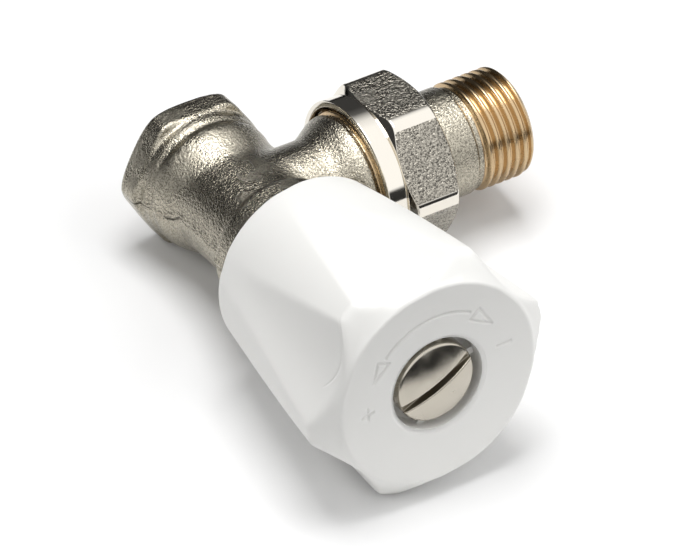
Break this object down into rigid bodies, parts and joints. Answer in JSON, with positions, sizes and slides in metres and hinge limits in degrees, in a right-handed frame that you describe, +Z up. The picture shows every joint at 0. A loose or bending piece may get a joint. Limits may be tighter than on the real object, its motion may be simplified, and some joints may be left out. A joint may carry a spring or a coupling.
{
  "type": "manual radiator valve",
  "caption": "Angle radiator valve with a female inlet, a union tail with a male thread, and a white six-sided handwheel on a rising spindle.",
  "frame": {"origin": "centre of the mouth of the threaded inlet", "axes": "+Y out of the inlet, with the handwheel on the -Y side; +X along the union tail, out of its threaded end; +Z up as the valve lies"},
  "size_m": [0.079, 0.0856, 0.047],
  "materials": {
    "cast_nickel": "nickel-plated, coarse blasted forging skin",
    "bright_nickel": "nickel-plated, turned",
    "brass": "turned, unplated",
    "steel": "plain",
    "rubber": "matte",
    "white_plastic": "satin moulded"
  },
  "bodies": {
    "valve": {"valve_body": "cast_nickel", "bonnet": "bright_nickel", "bonnet_seal": "rubber", "limiter_sleeve": "brass", "gland_washer": "steel", "gland_seal": "rubber", "gland_nut": "bright_nickel"},
    "clack": {"clack": "brass", "seat_washer": "rubber", "clack_plate": "steel", "clack_screw": "steel", "clack_clip": "steel"},
    "spindle": {"spindle": "brass", "spindle_ring_low": "rubber", "spindle_ring_high": "rubber", "knob": "white_plastic", "knob_insert": "brass", "knob_screw": "bright_nickel", "knob_screw_washer": "steel"},
    "tail": {"tailpiece": "cast_nickel", "tail_seal": "rubber"},
    "nut": {"union_nut": "cast_nickel"}
  },
  "joints": [
    {"name": "spindle_lift", "type": "slide", "parent": "valve", "child": "clack", "axis": [0, -1, 0], "range_m": [0, 0.004]},
    {"name": "spindle_turn", "type": "hinge", "parent": "clack", "child": "spindle", "pos_m": [0, -0.022, 0], "axis": [0, -1, 0], "range_deg": [0, 960]},
    {"name": "union_draw", "type": "slide", "parent": "valve", "child": "tail", "axis": [1, 0, 0], "range_m": [0, 0.0073]},
    {"name": "union_turn", "type": "hinge", "parent": "tail", "child": "nut", "pos_m": [0, -0.022, 0], "axis": [1, 0, 0], "range_deg": [0, 1440]}
  ],
  "couplings": [
    {"joint": "spindle_lift", "follows": "spindle_turn", "m_per_rad": 0.0002387},
    {"joint": "union_draw", "follows": "union_turn", "m_per_rad": 0.00028871}
  ]
}
